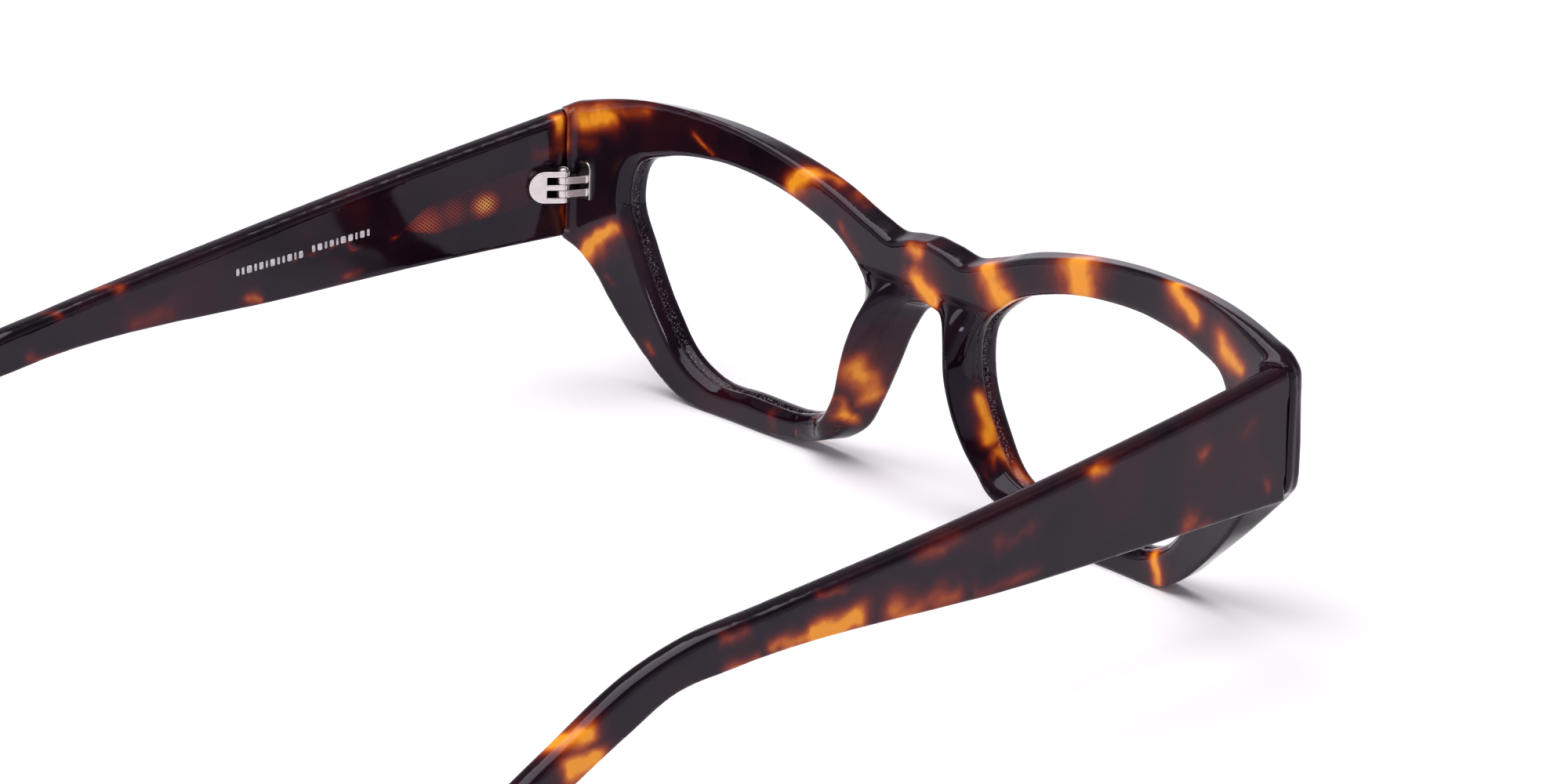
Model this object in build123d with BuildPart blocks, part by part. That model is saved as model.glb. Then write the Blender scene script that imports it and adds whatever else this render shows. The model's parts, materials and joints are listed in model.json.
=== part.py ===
"""Acetate eyeglasses frame: a geometric cat-eye front with bonded nose pads, two
folding temples with core wires, and two five-barrel hinges. No lenses are fitted.

Millimetres. +X is the wearer's left, -Y the way the wearer looks, +Z up. The frame
stands open on its rims and temple tips at z = 0.
"""
from build123d import *
import os
from math import cos, radians, sin

# ---- the front ---------------------------------------------------------------
FRONT_THICK = 4.2
FRONT_TILT = 2.28            # degrees the front leans forward of upright
FRONT_SIDE_X = 76.9          # half width over the end pieces
FRONT_FLAT = 38.0            # half width of the flat middle
FRONT_WRAP_R = 160.0         # radius on which the outer thirds wrap back
WRAP_ANGLE = 16.0            # degrees of that arc, past the end pieces
FRONT_HEIGHT = 43.5
CORNER_R = 3.0               # end-piece corners, in front view
FOOT_CORNER_R = 8.7          # lower outer corner of each rim
BACK_Y = -67.4               # back face of the front at floor level
GROOVE_WIDTH = 1.2
GROOVE_DEPTH = 0.6
BLOCK_BOTTOM = 21.6          # end blocks that fill the wrap up to the temples
BLOCK_TOP = 38.6

# ---- the temples; y is measured back from the front's back face ---------------
TEMPLE_THICK = 3.7
TEMPLE_BOW = ((75.05, 3.0), (77.4, 60.0), (72.8, 141.0))   # centre line in plan
TIP_SLOPE = 32.0             # degrees the ear piece drops
TIP_R = 2.5
TIP_CENTRE = (138.2, TIP_R)
SEAM_INNER = (73.2, 4.6)     # butt joint in plan, in the leaning frame
SEAM_OUTER = (76.9, 3.0)
SEAM_GAP = 0.05
WIRE_THICK = 1.0
WIRE_HEIGHT = 1.3

# ---- the hinges, in the leaning frame ------------------------------------------
AXIS_X = 71.55
AXIS_Y = 6.35                # behind the front's back face
BARREL_R = 1.0
ARM_HEIGHT = 0.82            # three arms on the temple
FINGER_HEIGHT = 1.06         # two fingers on the front
FINGER_GAP = 0.03            # running gap above and below a finger
STACK_MIDDLE = 28.45
SLOT_DEPTH = 2.4             # how far a slot runs behind the axis
SCREW_R = 0.5
SCREW_RUN = 0.04             # radial play of the screw in the fingers
SCREW_HEAD_R = 0.85
SCREW_HEAD_H = 0.55
DRIVER_SLOT = 0.25

SLOT_HEIGHT = FINGER_HEIGHT + 2 * FINGER_GAP
LEVEL_STEP = (ARM_HEIGHT + SLOT_HEIGHT) / 2     # from an arm to the next finger
STACK_BOTTOM = STACK_MIDDLE - 2 * LEVEL_STEP - ARM_HEIGHT / 2
STACK_HEIGHT = 4 * LEVEL_STEP + ARM_HEIGHT
ARM_LEVELS = [STACK_MIDDLE + i * LEVEL_STEP for i in (-2, 0, 2)]
FINGER_LEVELS = [STACK_MIDDLE + i * LEVEL_STEP for i in (-1, 1)]

CLEAR = 60.0                 # length that takes a cut right through the frame

os.makedirs("parts", exist_ok=True)

# ---- reference planes ----------------------------------------------------------
lean = radians(FRONT_TILT)
up_the_front = (0, -sin(lean), cos(lean))
# plan and elevation of the leaning front; local y 0 and z 0 are its back, lower edge
plan = Plane(origin=(0, BACK_Y, 0), x_dir=(1, 0, 0), z_dir=up_the_front)
elevation = Plane(origin=(0, BACK_Y, 0), x_dir=(1, 0, 0), z_dir=(0, -cos(lean), -sin(lean)))
side_view = Plane(origin=(0, BACK_Y, 0), x_dir=(0, 1, 0), z_dir=(1, 0, 0))
floor_plan = Plane(origin=(0, BACK_Y, 0))


def plan_at(height):
    return plan.offset(height)


def save(part, label):
    part.label = label
    export_step(part, f"parts/{label}.step")


def save_pair(left_part, name):
    """Write the left piece, and its mirror image for the right side."""
    save(mirror(left_part, about=Plane.YZ), f"{name}_right")
    save(left_part, f"{name}_left")


def wrapped_slab(depth, thick):
    """A slab that follows the front's plan: flat, then wrapped back at the sides.

    depth is how far its rear face lies in front of the front's own back face.
    """
    rear_r = FRONT_WRAP_R + depth
    centre = (FRONT_FLAT, FRONT_WRAP_R)
    with BuildPart() as made:
        with BuildSketch(plan_at(-2)):
            with BuildLine():
                rear = CenterArc(centre, rear_r, -90, WRAP_ANGLE)
                fore = CenterArc(centre, rear_r + thick, -90, WRAP_ANGLE)
                Line(rear @ 1, fore @ 1)
                Line(fore @ 0, (0, -depth - thick))
                Line((0, -depth - thick), (0, -depth))
                Line((0, -depth), rear @ 0)
            make_face()
        extrude(amount=FRONT_HEIGHT + 6)
    return made.part


def lens_outline(grow=0):
    """Left lens opening at the lip, in elevation, with its points moved out by grow."""
    centre = Vector(37, 20.5)
    lip = (
        (55.3, 11.8), (60.2, 20.6), (62.9, 27.6), (61.6, 33.0), (56.0, 35.6), (47.0, 37.4),
        (38.0, 37.5), (26.5, 35.8), (16.6, 31.9), (11.5, 26.8), (11.2, 20.5), (14.7, 12.4),
        (18.6, 7.3), (24.0, 4.9), (37.0, 4.0), (46.5, 4.5), (51.2, 6.9),
    )
    spokes = [Vector(*point) - centre for point in lip]
    with BuildLine() as outline:
        Spline(
            *[centre + spoke * (1 + grow / spoke.length) for spoke in spokes], periodic=True,
        )
    return outline.edges()


# ---- hinge, left side ----------------------------------------------------------
AXIS = (AXIS_X, AXIS_Y)
PLATE_FACE_Y = 3.5           # the front plate's back face
PLATE_INNER_X = 69.0
PLATE_OUTER_X = 72.2
LEAF_YAW = 31.0              # degrees the temple leaf's flat face turns outward
LEAF_END_X = 73.3            # where that face runs into the temple
FOOT_X = 74.7                # how deep the leaf's foot sits in the temple
leaf_dir = (sin(radians(LEAF_YAW)), cos(radians(LEAF_YAW)))
leaf_side = (leaf_dir[1], -leaf_dir[0])                    # outward of the flat face


def from_axis(along, across):
    """A plan point by its distance along the temple leaf and outward of its axis."""
    return (
        AXIS_X + along * leaf_dir[0] + across * leaf_side[0],
        AXIS_Y + along * leaf_dir[1] + across * leaf_side[1],
    )


leaf_length = (LEAF_END_X - AXIS_X + BARREL_R * leaf_side[0]) / leaf_dir[0]

with BuildPart() as hinge_front:
    # plate let into the back of the front, with a foot that anchors it
    with BuildSketch(plan_at(STACK_BOTTOM + 0.4)):
        with Locations(((PLATE_INNER_X + PLATE_OUTER_X) / 2, PLATE_FACE_Y)):
            Rectangle(PLATE_OUTER_X - PLATE_INNER_X, 1.1, align=(Align.CENTER, Align.MAX))
    extrude(amount=STACK_HEIGHT + 0.4)
    fillet(edges().filter_by(Axis(plan.origin, plan.y_dir)).group_by(Axis.Z)[-1], radius=0.9)
    with BuildSketch(plan_at(STACK_MIDDLE - 1.6)):
        with Locations(((PLATE_INNER_X + PLATE_OUTER_X) / 2, PLATE_FACE_Y - 1.0)):
            Rectangle(1.6, 1.8, align=(Align.CENTER, Align.MAX))
    extrude(amount=3.2)
    for level in FINGER_LEVELS:
        with BuildSketch(plan_at(level - FINGER_HEIGHT / 2)):
            with Locations(AXIS):
                Circle(BARREL_R)
            Polygon(
                (AXIS_X - BARREL_R, AXIS_Y), (PLATE_INNER_X + 0.6, PLATE_FACE_Y - 0.1),
                (PLATE_INNER_X + 2.6, PLATE_FACE_Y - 0.1), (AXIS_X + BARREL_R, AXIS_Y),
                align=None,
            )
            with Locations(AXIS):
                Circle(SCREW_R + SCREW_RUN, mode=Mode.SUBTRACT)
        extrude(amount=FINGER_HEIGHT)

with BuildPart() as hinge_temple:
    # leaf: barrels at the axis, running back into the temple's inner face
    with BuildSketch(plan_at(STACK_BOTTOM)):
        with Locations(AXIS):
            Circle(BARREL_R)
        Polygon(
            from_axis(0, -BARREL_R), from_axis(leaf_length, -BARREL_R), (LEAF_END_X, AXIS_Y + 0.2),
            from_axis(0, BARREL_R),
            align=None,
        )
        with Locations(AXIS):
            Circle(SCREW_R, mode=Mode.SUBTRACT)
    extrude(amount=STACK_HEIGHT)
    # slots for the front's fingers
    for level in FINGER_LEVELS:
        with BuildSketch(plan_at(level - SLOT_HEIGHT / 2)):
            Polygon(
                from_axis(SLOT_DEPTH, -4), from_axis(SLOT_DEPTH, 4), from_axis(-4, 4),
                from_axis(-4, -4),
                align=None,
            )
        extrude(amount=SLOT_HEIGHT, mode=Mode.SUBTRACT)
    # foot anchored in the temple
    with BuildSketch(plan_at(STACK_MIDDLE - 1.5)):
        with BuildLine():
            Polyline(
                (LEAF_END_X - 0.1, AXIS_Y + 2.9), (LEAF_END_X - 0.1, AXIS_Y + 4.4),
                (FOOT_X, AXIS_Y + 4.4), (FOOT_X, AXIS_Y + 2.9),
                close=True,
            )
        make_face()
    extrude(amount=3.0)

with BuildPart() as hinge_screw:
    with BuildSketch(plan_at(STACK_BOTTOM)):
        with Locations(AXIS):
            Circle(SCREW_R)
    extrude(amount=STACK_HEIGHT)
    with BuildSketch(plan_at(STACK_BOTTOM + STACK_HEIGHT)):
        with Locations(AXIS):
            Circle(SCREW_HEAD_R)
    extrude(amount=SCREW_HEAD_H)
    fillet(edges().group_by(Axis.Z)[-1], radius=0.3)
    with BuildSketch(plan_at(STACK_BOTTOM + STACK_HEIGHT + SCREW_HEAD_H)):
        with Locations(AXIS):
            Rectangle(3 * SCREW_HEAD_R, DRIVER_SLOT, rotation=35)
    extrude(amount=-DRIVER_SLOT, mode=Mode.SUBTRACT)

# ---- temple, left side -------------------------------------------------------------
slope = radians(TIP_SLOPE)
tip_normal = (sin(slope), cos(slope))
tip_top = (TIP_CENTRE[0] + TIP_R * tip_normal[0], TIP_CENTRE[1] + TIP_R * tip_normal[1])
tip_end = (TIP_CENTRE[0] + TIP_R * cos(slope), TIP_CENTRE[1] - TIP_R * sin(slope))
tip_under = (TIP_CENTRE[0] - TIP_R * tip_normal[0], TIP_CENTRE[1] - TIP_R * tip_normal[1])
down_the_tip = (cos(slope), -sin(slope))
# the butt joint, as a plane square to the leaning front's plan
seam_run = Vector(SEAM_OUTER) - Vector(SEAM_INNER)
seam_back = Vector(-seam_run.Y, seam_run.X).normalized()
seam = Plane(
    origin=plan.from_local_coords(Vector(SEAM_INNER) + seam_back * SEAM_GAP),
    z_dir=plan.from_local_coords(seam_back) - plan.origin,
)


def temple_band(thick):
    """The temple's plan, bowed outward, as a band of the given thickness."""
    with BuildPart() as made:
        with BuildSketch(floor_plan):
            with BuildLine():
                ThreePointArc(*TEMPLE_BOW)
            trace(line_width=thick)
        extrude(amount=FRONT_HEIGHT)
    return made.part


with BuildPart() as core_wire:
    with BuildSketch(side_view):
        # pointed blade, then the wire down to the tip
        with BuildLine():
            Polyline(
                (9.4, 32.0), (27.0, 29.6), (32.2, 26.6), (25.6, 24.9), (9.4, 26.2), close=True,
            )
        make_face()
        with BuildLine():
            Spline(
                (30.5, 26.6), (52.0, 26.3), (80.0, 25.0), (104.0, 22.2), (113.0, 18.6),
                (134.0, 5.2),
            )
        trace(line_width=WIRE_HEIGHT)
    extrude(amount=2 * CLEAR)
    add(temple_band(WIRE_THICK), mode=Mode.INTERSECT)

with BuildPart() as temple:
    with BuildSketch(side_view):
        with BuildLine():
            top = Spline(
                (0, 38.9), (8.0, 37.7), (33.0, 34.4), (58.0, 31.1), (92.0, 26.6), (103.8, 24.6),
                (111.0, 21.9), tip_top,
                tangents=[(1, -0.14), down_the_tip],
            )
            ThreePointArc(tip_top, tip_end, tip_under)
            under = Spline(
                tip_under, (113.5, 15.2), (106.5, 19.2), (98.0, 20.8), (50.0, 21.2), (0, 20.8),
                tangents=[(-down_the_tip[0], -down_the_tip[1]), (-1, 0)],
            )
            Line(under @ 1, (0, 38.9))
        make_face()
    extrude(amount=2 * CLEAR)
    add(temple_band(TEMPLE_THICK), mode=Mode.INTERSECT)
    split(bisect_by=seam, keep=Keep.TOP)
    add(core_wire.part, mode=Mode.SUBTRACT)
    add(hinge_temple.part, mode=Mode.SUBTRACT)

# ---- front ---------------------------------------------------------------------
# height, then across: nose cut-out, pad crest, crest height behind the front, lens side
PAD_STATIONS = (
    (2.6, 18.8, 20.2, 1.2, 23.5),
    (5.0, 15.3, 18.6, 2.8, 21.6),
    (8.0, 13.1, 16.1, 3.5, 17.7),
    (12.0, 10.8, 13.5, 4.3, 14.6),
    (16.0, 8.8, 12.0, 4.9, 12.7),
    (20.0, 6.9, 10.7, 5.0, 11.1),
    (24.0, 4.6, 9.3, 4.4, 10.7),
    (27.2, 1.0, 7.9, 3.1, 11.0),
)


def bevel_x(nose, crest, height):
    """Where the slope from the front's nose edge to the pad crest meets the back face."""
    return nose + (crest - nose) * FRONT_THICK / (FRONT_THICK + height)


# wedge that bevels the front's nose cut-out so that it runs into the pads
with BuildPart() as nose_bevel:
    for z, nose, crest, height, _ in PAD_STATIONS:
        with BuildSketch(plan_at(z)):
            Polygon(
                (nose - 4, 0.5), (nose - 4, -FRONT_THICK - 0.1), (nose, -FRONT_THICK - 0.1),
                (bevel_x(nose, crest, height), 0), (bevel_x(nose, crest, height), 0.5),
                align=None,
            )
    loft()

with BuildPart() as lens_groove:
    with BuildSketch(elevation):
        make_face(lens_outline(GROOVE_DEPTH))
    extrude(amount=CLEAR, both=True)
    add(wrapped_slab((FRONT_THICK - GROOVE_WIDTH) / 2, GROOVE_WIDTH), mode=Mode.INTERSECT)

with BuildPart() as front_frame:
    with BuildSketch(elevation):
        with BuildLine():
            brow = Spline(
                (0, 36.4), (3.6, 35.8), (7.4, 34.8), (12.0, 36.1), (20.2, 39.0), (33.7, 42.2),
                (50.0, 43.5), (64.0, 42.7), (72.5, 41.2), (FRONT_SIDE_X, 40.1),
                tangents=[(1, 0), (1, -0.25)],
            )
            Line(brow @ 1, (FRONT_SIDE_X, 22.2))
            Line((FRONT_SIDE_X, 22.2), (49.6, 0))
            Line((49.6, 0), (36.0, 0))
            nose = Spline(
                (36.0, 0), (25.0, 0.9), (18.6, 2.9), (15.0, 5.3), (11.8, 10.2), (8.8, 16.0),
                (5.8, 22.0), (3.0, 25.8), (0, 27.3),
                tangents=[(-1, 0), (-1, 0)],
            )
            Line(nose @ 1, (0, 36.4))
        make_face()
        fillet(vertices().group_by(Axis.X)[-1], radius=CORNER_R)
        fillet([v for v in vertices() if v.X > 40 and v.Y < 0.1], radius=FOOT_CORNER_R)
        make_face(lens_outline(), mode=Mode.SUBTRACT)
    extrude(amount=CLEAR, both=True)
    add(wrapped_slab(0, FRONT_THICK), mode=Mode.INTERSECT)

    # end block that meets the temple
    with BuildSketch(plan_at(BLOCK_BOTTOM)):
        Polygon(
            (SEAM_INNER[0] - 0.9, 2.6), SEAM_INNER, SEAM_OUTER, (SEAM_OUTER[0], 2.6), align=None,
        )
    extrude(amount=BLOCK_TOP - BLOCK_BOTTOM)
    split(bisect_by=seam, keep=Keep.BOTTOM)
    add(lens_groove.part, mode=Mode.SUBTRACT)
    add(nose_bevel.part, mode=Mode.SUBTRACT)
    # flats that the rims stand on
    with BuildSketch(floor_plan):
        Rectangle(4 * FRONT_SIDE_X, CLEAR)
    extrude(amount=-5, mode=Mode.SUBTRACT)
    add(hinge_front.part, mode=Mode.SUBTRACT)
    mirror(about=Plane.YZ)

# ---- nose pad, bonded on the back of the front ----------------------------------
with BuildPart() as nose_pad:
    for z, nose, crest, height, lens_side in PAD_STATIONS:
        with BuildSketch(plan_at(z)):
            Polygon((bevel_x(nose, crest, height), 0), (lens_side, 0), (crest, height), align=None)
    loft()

# ---- write the pieces -------------------------------------------------------------
save(front_frame.part, "front_frame")
save_pair(nose_pad.part, "nose_pad")
save_pair(hinge_front.part, "hinge_front")
save_pair(hinge_temple.part, "hinge_temple")
save_pair(hinge_screw.part, "hinge_screw")
save_pair(core_wire.part, "core_wire")
save_pair(temple.part, "temple")
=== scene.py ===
import json
from math import atan2, cos, radians, sin

import bpy
import numpy as np
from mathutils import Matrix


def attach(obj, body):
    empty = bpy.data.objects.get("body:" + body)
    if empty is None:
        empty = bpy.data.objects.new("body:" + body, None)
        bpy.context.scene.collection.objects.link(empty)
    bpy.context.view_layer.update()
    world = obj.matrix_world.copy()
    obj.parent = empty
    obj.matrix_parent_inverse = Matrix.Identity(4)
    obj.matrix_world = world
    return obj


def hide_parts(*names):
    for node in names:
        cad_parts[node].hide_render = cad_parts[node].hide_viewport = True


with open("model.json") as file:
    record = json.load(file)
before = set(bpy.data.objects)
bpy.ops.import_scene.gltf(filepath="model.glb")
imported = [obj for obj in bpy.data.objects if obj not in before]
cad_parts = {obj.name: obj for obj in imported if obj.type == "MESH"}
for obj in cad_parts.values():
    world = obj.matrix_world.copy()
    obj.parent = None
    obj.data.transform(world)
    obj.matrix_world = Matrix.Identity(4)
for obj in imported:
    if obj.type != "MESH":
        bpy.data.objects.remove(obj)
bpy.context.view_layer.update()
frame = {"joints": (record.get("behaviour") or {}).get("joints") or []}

import openvdb as vdb
from mathutils import Vector

# ---- what the frame says --------------------------------------------------------
# Shapes are worked out in millimetres, in the leaning frame of the front: x across,
# y back from the front's back face, z up the front. The left hinge gives that frame.
MM = 0.001
fold = next(j for j in frame["joints"] if j["name"] == "fold_left")
AXIS_X, hinge_y = (v / MM for v in fold["pos_m"][:2])
LEAN = atan2(-fold["axis"][1], fold["axis"][2])
AXIS_Y = 6.35                                      # hinge axis behind the back face
STACK_MIDDLE = 28.45                               # middle of the hinge, up the front
BACK_Y = hinge_y - AXIS_Y * cos(LEAN) + STACK_MIDDLE * sin(LEAN)

# ---- sizes -----------------------------------------------------------------------
# Thicknesses, the seam, the wrap and the hinge's main sizes are the CAD's. Roundings,
# chamfers, fillets and the outlines belong to the visual shapes.
FRONT_THICK = 4.2
FRONT_FLAT = 38.0
WRAP_R = 160.0
GROOVE_DEPTH = 0.6
GROOVE_ROUND = 0.08
LENS_CHAMFER = 1.2                                 # towards the lens's lower outer side
LENS_CHAMFER_TOP = 0.25
CHAMFER_ROUND = 0.3
CHAMFER_RUN = 14.0                                 # from one chamfer to the other
LENS_MIDDLE = (37.0, 20.5)
LIP_IN = 0.25                                      # smaller opening, except on that side
LIP_ROUND = 0.45
SLANT = 0.7071                                     # of a face at 45 degrees
EDGE_BACK = 0.35
EDGE_BACK_BROW = 0.3                               # added along the brow
EDGE_BACK_END = 1.1                                # added on the brow of the end pieces
EDGE_FRONT = 0.6
EDGE_FRONT_BROW = 0.6
EDGE_FLOOR = 0.25
BROW_RISE = (28.0, 34.0)                           # heights over which the brow's edge sets in
END_PIECE = (60.0, 69.0)                           # across, where its edge gets rounder
BLOCK_X = 72.5                                     # block of the end piece, up to the temple
BLOCK_Y = 2.4
BLOCK_MIDDLE = 30.1
BLOCK_HALF = 8.9
BLOCK_ROUND = 0.5
BLOCK_FILLET = 0.8
SEAM_INNER = (73.2, 4.6)
SEAM_OUTER = (76.9, 3.0)
SEAM_GAP = 0.05
SEAM_FROM = 71.0
SEAM_ROUND = 0.06
PAD_MIDDLE = 16.0
PAD_HALF = 15.0
PAD_RISE = 0.8                                     # least rise that its slopes are drawn to
PAD_NOSE_ROUND = 0.8
PAD_LENS_ROUND = 0.6
PAD_CREST_ROUND = 0.5
PAD_SUNK = 1.0                                     # let into the front
PAD_LIP_GAP = 0.2
PAD_LIP_ROUND = 0.3
PAD_FILLET = ((22, 27), (1.1, 0.35))               # fading up the front
FILLET_LIP_GAP = 0.25
PAD_SKIN = 0.008                                   # least height of the pad piece over the front
PAD_OVERLAP = 0.15                                 # depth of the pad piece in the front
TEMPLE_THICK = 3.7
TEMPLE_EDGE = 0.35
TEMPLE_EDGE_TOP = 0.95                             # added along the top
TEMPLE_TOP_IN = 0.2
TEMPLE_CROWN = 2.0
TEMPLE_SEAM_ROUND = 0.08
TEMPLE_BOW = ((75.05, 3.0), (77.4, 60.0), (72.8, 141.0))
TIP_R = 2.5
TIP_CENTRE = (138.2, TIP_R)
TIP_SLOPE = 32                                     # degrees
BARREL_R = 1.0
ARM_HEIGHT = 0.82
FINGER_HEIGHT = 1.06
FINGER_GAP = 0.03
SCREW_R = 0.5
SCREW_RUN = 0.04
SCREW_HEAD_R = 0.85
SCREW_HEAD_H = 0.55
DOME_R = 1.3
DOME_DROP = 0.75                                   # its centre below the top of the arms
DRIVER_SLOT = 0.25
DRIVER_ANGLE = radians(35)
PLATE_X = (69.0, 72.2)                             # plate of the front half of the hinge
PLATE_Y = (2.6, 3.5)
PLATE_Z = (-2.0, 3.5)                              # from the stack's middle
PLATE_CORNER_R = 1.2
WEB_Y = 3.0                                        # fingers' webs start inside the plate
WEB_FOOT_Y = 3.4
WEB_LEAN = 0.95                                    # inward, from the axis to the foot
WEB_SLANT = 0.95                                   # cosine of its slant
WEB_HALF = 0.97
SLOT_DEPTH = 2.4
LEAF_YAW = radians(31)
LEAF_END_X = 73.3
SLOT_HEIGHT = FINGER_HEIGHT + 2 * FINGER_GAP
LEVEL_STEP = (ARM_HEIGHT + SLOT_HEIGHT) / 2
STACK_HALF = 2 * LEVEL_STEP + ARM_HEIGHT / 2
FINGER_LEVELS = (STACK_MIDDLE - LEVEL_STEP, STACK_MIDDLE + LEVEL_STEP)

# half outlines of the front in elevation: its back edge and its front edge
BROW_BACK = (
    (0, 36.4), (3.6, 35.8), (7.4, 34.8), (12.0, 36.1), (20.2, 39.0), (33.7, 42.2),
    (50.0, 43.5), (64.0, 42.6), (71.0, 41.0), (74.6, 39.5), (76.3, 37.9), (76.9, 35.5),
)
BROW_FRONT = (
    (0, 37.0), (4.0, 36.6), (8.0, 36.1), (12.0, 37.1), (20.2, 39.8), (31.9, 41.9),
    (48.0, 42.7), (60.0, 42.2), (70.1, 40.6), (74.6, 39.6), (76.5, 38.0), (76.9, 35.5),
)
FOOT_BACK = (
    (76.9, 22.6), (76.3, 20.9), (74.7, 19.9), (71.7, 18.6), (68.8, 16.3), (65.1, 11.8),
    (58.8, 5.6), (54.7, 2.5), (51.0, 0.7), (46.5, 0.05), (40.0, 0.05), (33.0, 0.1),
)
FOOT_FRONT = (
    (76.9, 23.6), (76.5, 21.9), (75.1, 20.3), (70.9, 16.5), (58.7, 6.6), (54.1, 2.9),
    (50.4, 1.0), (46.5, 0.05), (40.0, 0.05), (33.0, 0.1),
)
NOSE_BACK = (
    (25.4, 1.0), (19.8, 2.8), (16.8, 5.0), (14.2, 8.0), (11.7, 12.0), (9.8, 16.0),
    (8.0, 20.0), (6.2, 24.0), (4.2, 26.7), (0, 28.0),
)
NOSE_FRONT = (
    (24.8, 0.9), (18.3, 2.8), (14.7, 5.2), (11.5, 10.1), (8.5, 15.9), (5.5, 21.9),
    (2.8, 25.4), (0, 26.7),
)
LENS_LIP = (
    (55.3, 11.8), (60.2, 20.6), (62.9, 27.6), (61.6, 33.0), (56.0, 35.6), (47.0, 37.4),
    (38.0, 37.5), (26.5, 35.8), (16.6, 31.9), (11.5, 26.8), (11.2, 20.5), (14.7, 12.4),
    (18.6, 7.4), (24.0, 5.2), (37.0, 4.4), (46.5, 4.6), (51.2, 6.9),
)
# nose pad: height up the front, crest across, crest behind the back face, lens side
PAD_CREST = (
    (1.6, 21.0, -0.6, 24.0), (3.2, 19.8, 1.4, 23.0), (5.0, 18.6, 2.8, 21.4),
    (8.0, 16.1, 3.5, 17.9), (12.0, 13.5, 4.3, 14.9), (16.0, 12.0, 4.9, 13.1),
    (20.0, 10.7, 5.0, 11.9), (23.0, 9.7, 4.5, 11.6), (25.5, 8.7, 3.6, 11.9),
    (27.6, 7.9, 2.3, 12.4), (29.4, 7.2, 0.7, 12.9), (31.0, 6.8, -1.0, 13.2),
)

# where the pad's nose side runs out on the back face: height up the front, across
PAD_NOSE_FOOT = ((0, 19, 23, 25.5, 27.6, 29.4, 31), (-20, 2.0, 3.6, 3.2, 2.5, 3.5, 4.5))


# ---- curves and distances --------------------------------------------------------
def smooth(points, closed=False, steps=10):
    """A smooth line through the points, as an array of steps per span."""
    p = np.array(points, float)
    if closed:
        p = np.vstack([p[-2:], p, p[:3]])
    chord = np.linalg.norm(np.diff(p, axis=0), axis=1)
    t = np.concatenate([[0], np.cumsum(chord)])
    slope = np.gradient(p, t, axis=0)
    out = []
    first, last = (2, len(p) - 3) if closed else (0, len(p) - 1)
    for i in range(first, last):
        h = t[i + 1] - t[i]
        for s in np.arange(steps) / steps:
            a, b = (1 + 2 * s) * (1 - s) ** 2, s * (1 - s) ** 2
            c, d = s * s * (3 - 2 * s), s * s * (s - 1)
            out.append(a * p[i] + b * h * slope[i] + c * p[i + 1] + d * h * slope[i + 1])
    if not closed:
        out.append(p[-1])
    return np.array(out)


class Outline:
    """Signed distance to a closed plane outline, negative inside, kept on a grid."""

    def __init__(self, loop, margin=8.0, step=0.2):
        self.step = step
        self.low = loop.min(0) - margin
        count = ((loop.max(0) + margin - self.low) / step).astype(int) + 2
        axes = [self.low[k] + step * np.arange(count[k]) for k in (0, 1)]
        u, v = np.meshgrid(*axes, indexing="ij")
        near = np.full(u.shape, 1e6)
        inside = np.zeros(u.shape, bool)
        for a, b in zip(loop, np.roll(loop, -1, axis=0)):
            run = b - a
            length2 = max(run @ run, 1e-12)
            k = np.clip(((u - a[0]) * run[0] + (v - a[1]) * run[1]) / length2, 0, 1)
            near = np.minimum(near, (u - a[0] - k * run[0]) ** 2 + (v - a[1] - k * run[1]) ** 2)
            if a[1] != b[1]:
                spans = (a[1] <= v) != (b[1] <= v)
                inside ^= spans & (u < a[0] + (v - a[1]) * run[0] / run[1])
        self.values = np.sqrt(near) * np.where(inside, -1, 1)

    def __call__(self, u, v):
        size = self.values.shape
        a = np.clip((u - self.low[0]) / self.step, 0, size[0] - 1.001)
        b = np.clip((v - self.low[1]) / self.step, 0, size[1] - 1.001)
        i, j = a.astype(int), b.astype(int)
        a, b = a - i, b - j
        g = self.values
        return (
            g[i, j] * (1 - a) * (1 - b) + g[i + 1, j] * a * (1 - b)
            + g[i, j + 1] * (1 - a) * b + g[i + 1, j + 1] * a * b
        )


def cut_round(a, b, r):
    """What is inside both a and b, with the edge between them rounded to r."""
    return np.minimum(np.maximum(a, b), -r) + np.hypot(np.maximum(a + r, 0), np.maximum(b + r, 0))


def join_round(a, b, r):
    """What is inside a or b, with a fillet of r between them."""
    return np.maximum(np.minimum(a, b), r) - np.hypot(np.maximum(r - a, 0), np.maximum(r - b, 0))


def blend_values(a, b, t):
    return a + (b - a) * t


def fade(value, start, end):
    """0 up to start, 1 from end on, and even between them."""
    return np.clip((value - start) / (end - start), 0, 1)


def half_loop(*runs):
    """A closed outline, the same on both sides of the mirror plane, from its half."""
    half = np.vstack([smooth(run) for run in runs])
    return np.vstack([half, half[::-1] * (-1, 1)])


def to_world(x, y, z):
    return x, BACK_Y + y * cos(LEAN) - z * sin(LEAN), y * sin(LEAN) + z * cos(LEAN)


def to_lean(x, y, z):
    """From world axes, y measured from the back face at the floor, to the leaning frame."""
    return x, y * cos(LEAN) + z * sin(LEAN), z * cos(LEAN) - y * sin(LEAN)


# ---- meshes from distances --------------------------------------------------------
def settle(p, field, step):
    """The points moved onto the surface where field is zero, in three Newton steps."""
    h = 0.25 * step
    for _ in range(3):
        here = field(*p.T)
        grad = np.stack([
            (field(*(p + h * e).T) - field(*(p - h * e).T)) / (2 * h) for e in np.eye(3)
        ], axis=1)
        size2 = np.maximum((grad ** 2).sum(1), 0.2)
        p = p - np.clip(here / size2, -step, step)[:, None] * grad
    return p


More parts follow.
